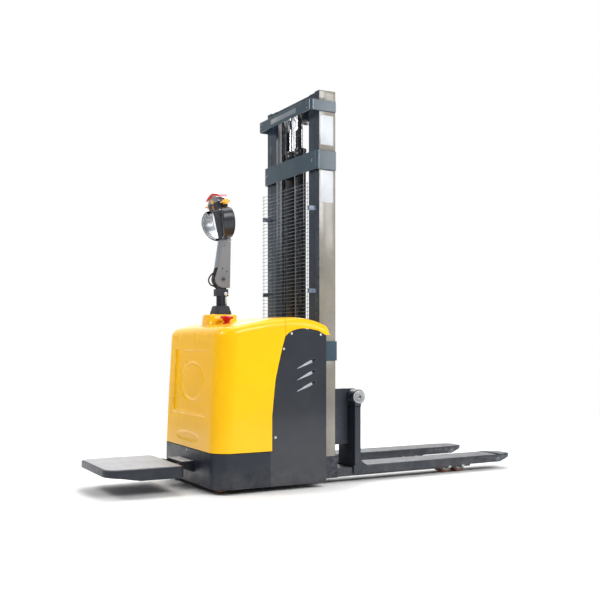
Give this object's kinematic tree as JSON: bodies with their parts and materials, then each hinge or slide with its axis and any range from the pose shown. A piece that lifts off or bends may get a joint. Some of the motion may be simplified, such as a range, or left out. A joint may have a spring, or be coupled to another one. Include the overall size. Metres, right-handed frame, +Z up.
{
  "type": "walkie stacker",
  "caption": "Electric walkie stacker with two-stage mast, twin forks over load legs, tilting tiller and a fold-up operator platform.",
  "frame": {"origin": "centre of the bounding box, on the floor under the wheels", "axes": "+X towards the fork tips, +Y to the left seen from the operator's platform, +Z up"},
  "size_m": [2.485, 0.779, 2.095],
  "materials": {
    "hood_yellow": "gloss",
    "chassis_grey": "satin",
    "panel_grey": "satin",
    "mast_slate": "gloss",
    "band_slate": "gloss",
    "fork_black": "satin",
    "cylinder_black": "gloss",
    "chrome": "polished",
    "steel": "brushed",
    "chain_steel": "oiled",
    "wire_steel": "satin",
    "arm_grey": "satin",
    "head_silver": "satin",
    "loop_black": "satin",
    "boot_rubber": "matte",
    "button_red": "gloss",
    "button_yellow": "gloss",
    "button_brown": "gloss",
    "pu_tread": "satin",
    "drive_tread": "satin",
    "mat_grey": "matte",
    "bracket_grey": "satin",
    "battery_case": "matte",
    "motor_black": "satin",
    "gear_iron": "cast",
    "controller_alu": "satin",
    "hose_rubber": "matte"
  },
  "bodies": {
    "chassis": {"chassis_frame": "chassis_grey", "load_legs": "fork_black", "load_wheel_axles": "steel", "front_skirt": "chassis_grey", "side_panel_left": "panel_grey", "side_panel_right": "panel_grey", "hood_front": "hood_yellow", "hood_top": "hood_yellow", "panel_screws": "steel", "outer_rails": "mast_slate", "upper_band": "band_slate", "middle_band": "band_slate", "lower_band": "band_slate", "mesh_guard": "wire_steel", "lift_cylinders": "cylinder_black", "anchor_chains": "chain_steel", "battery": "battery_case", "hydraulic_power_pack": "motor_black", "motor_controller": "controller_alu", "lift_hose": "hose_rubber", "slewing_bearing": "steel", "platform_bracket": "bracket_grey", "platform_pin": "steel"},
    "inner_mast": {"inner_rails": "mast_slate", "inner_mast_ties": "mast_slate", "cylinder_rods": "chrome", "carriage_chains": "chain_steel"},
    "sheaves": {"chain_sheaves": "steel"},
    "outer_rollers": {"outer_mast_rollers": "steel"},
    "inner_rollers": {"inner_mast_rollers": "steel"},
    "carriage": {"carriage_frame": "fork_black", "fork_shaft": "chrome", "fork_left": "fork_black", "fork_right": "fork_black"},
    "carriage_rollers_low": {"carriage_rollers_lower": "steel"},
    "carriage_rollers_up": {"carriage_rollers_upper": "steel"},
    "steering": {"steer_column": "motor_black", "tiller_boot": "boot_rubber", "drive_motor": "motor_black", "drive_gearbox": "gear_iron", "control_cable": "hose_rubber"},
    "drive_wheel_body": {"drive_wheel": "drive_tread"},
    "tiller": {"tiller_arm": "arm_grey", "tiller_head": "head_silver", "hand_loops": "loop_black"},
    "thumb_control": {"thumb_wheels": "button_yellow"},
    "belly_button": {"belly_switch": "button_red"},
    "horn": {"horn_button": "button_yellow"},
    "rocker": {"lift_rocker": "button_brown"},
    "emergency_stop": {"estop_button": "button_red"},
    "platform": {"platform_deck": "chassis_grey", "platform_mat": "mat_grey"},
    "caster_left": {"caster_fork_left": "steel"},
    "caster_right": {"caster_fork_right": "steel"},
    "caster_wheel_l": {"caster_wheel_left": "pu_tread"},
    "caster_wheel_r": {"caster_wheel_right": "pu_tread"},
    "load_wheel_rl": {"load_wheel_rear_left": "pu_tread"},
    "load_wheel_rr": {"load_wheel_rear_right": "pu_tread"},
    "load_wheel_fl": {"load_wheel_front_left": "pu_tread"},
    "load_wheel_fr": {"load_wheel_front_right": "pu_tread"}
  },
  "joints": [
    {"name": "mast_lift", "type": "slide", "parent": "chassis", "child": "inner_mast", "axis": [0, 0, 1], "range_m": [0, 1.45], "deforming": ["anchor_chains"]},
    {"name": "carriage_lift", "type": "slide", "parent": "inner_mast", "child": "carriage", "axis": [0, 0, 1], "range_m": [0, 1.45], "deforming": ["carriage_chains"]},
    {"name": "sheave_spin", "type": "hinge", "parent": "inner_mast", "child": "sheaves", "pos_m": [-0.0655, 0, 2.005], "axis": [0, 1, 0], "range_deg": [-1850, 5]},
    {"name": "outer_roller_spin", "type": "hinge", "parent": "chassis", "child": "outer_rollers", "pos_m": [-0.0575, 0, 1.925], "axis": [0, 1, 0], "continuous": true},
    {"name": "inner_roller_spin", "type": "hinge", "parent": "inner_mast", "child": "inner_rollers", "pos_m": [-0.0575, 0, 0.212], "axis": [0, 1, 0], "continuous": true},
    {"name": "carriage_roller_low_spin", "type": "hinge", "parent": "carriage", "child": "carriage_rollers_low", "pos_m": [-0.0575, 0, 0.3], "axis": [0, 1, 0], "continuous": true},
    {"name": "carriage_roller_up_spin", "type": "hinge", "parent": "carriage", "child": "carriage_rollers_up", "pos_m": [-0.0575, 0, 0.44], "axis": [0, 1, 0], "continuous": true},
    {"name": "steer", "type": "hinge", "parent": "chassis", "child": "steering", "pos_m": [-0.5415, 0, 0.115], "axis": [0, 0, 1], "range_deg": [-90, 90]},
    {"name": "drive_spin", "type": "hinge", "parent": "steering", "child": "drive_wheel_body", "pos_m": [-0.5415, 0, 0.115], "axis": [0, 1, 0], "continuous": true},
    {"name": "tiller_tilt", "type": "hinge", "parent": "steering", "child": "tiller", "pos_m": [-0.5385, 0, 1.093], "axis": [0, -1, 0], "range_deg": [0, 75], "stiffness_Nm_per_rad": 12, "springref_deg": -14.32, "deforming": ["control_cable"]},
    {"name": "thumb_turn", "type": "hinge", "parent": "tiller", "child": "thumb_control", "pos_m": [-0.55908, 0, 1.49563], "axis": [0, 1, 0], "range_deg": [-35, 35], "stiffness_Nm_per_rad": 0.6},
    {"name": "belly_press", "type": "slide", "parent": "tiller", "child": "belly_button", "axis": [0.2079, 0, -0.9781], "range_m": [0, 0.005], "stiffness_N_per_m": 1500, "springref_m": -0.002},
    {"name": "horn_press", "type": "slide", "parent": "tiller", "child": "horn", "axis": [0.9781, 0, 0.2079], "range_m": [0, 0.003], "stiffness_N_per_m": 900, "springref_m": -0.001},
    {"name": "rocker_tilt", "type": "hinge", "parent": "tiller", "child": "rocker", "pos_m": [-0.57913, 0, 1.4745], "axis": [0, 1, 0], "range_deg": [-9, 9], "stiffness_Nm_per_rad": 0.4},
    {"name": "emergency_stop_press", "type": "slide", "parent": "chassis", "child": "emergency_stop", "axis": [0, 0, -1], "range_m": [0, 0.005]},
    {"name": "platform_fold", "type": "hinge", "parent": "chassis", "child": "platform", "pos_m": [-0.8225, 0, 0.125], "axis": [0, 1, 0], "range_deg": [0, 88]},
    {"name": "caster_swivel_left", "type": "hinge", "parent": "chassis", "child": "caster_left", "pos_m": [-0.6375, 0.29, 0.15], "axis": [0, 0, 1], "continuous": true},
    {"name": "caster_swivel_right", "type": "hinge", "parent": "chassis", "child": "caster_right", "pos_m": [-0.6375, -0.29, 0.15], "axis": [0, 0, 1], "continuous": true},
    {"name": "caster_spin_left", "type": "hinge", "parent": "caster_left", "child": "caster_wheel_l", "pos_m": [-0.6625, 0.29, 0.06], "axis": [0, 1, 0], "continuous": true},
    {"name": "caster_spin_right", "type": "hinge", "parent": "caster_right", "child": "caster_wheel_r", "pos_m": [-0.6625, -0.29, 0.06], "axis": [0, 1, 0], "continuous": true},
    {"name": "load_wheel_rl_spin", "type": "hinge", "parent": "chassis", "child": "load_wheel_rl", "pos_m": [0.7625, 0.2305, 0.04], "axis": [0, 1, 0], "continuous": true},
    {"name": "load_wheel_rr_spin", "type": "hinge", "parent": "chassis", "child": "load_wheel_rr", "pos_m": [0.7625, -0.2305, 0.04], "axis": [0, 1, 0], "continuous": true},
    {"name": "load_wheel_fl_spin", "type": "hinge", "parent": "chassis", "child": "load_wheel_fl", "pos_m": [0.8585, 0.2305, 0.04], "axis": [0, 1, 0], "continuous": true},
    {"name": "load_wheel_fr_spin", "type": "hinge", "parent": "chassis", "child": "load_wheel_fr", "pos_m": [0.8585, -0.2305, 0.04], "axis": [0, 1, 0], "continuous": true}
  ],
  "couplings": [
    {"joint": "carriage_lift", "follows": "mast_lift", "ratio": 1},
    {"joint": "sheave_spin", "follows": "mast_lift", "rad_per_m": -22.222}
  ]
}
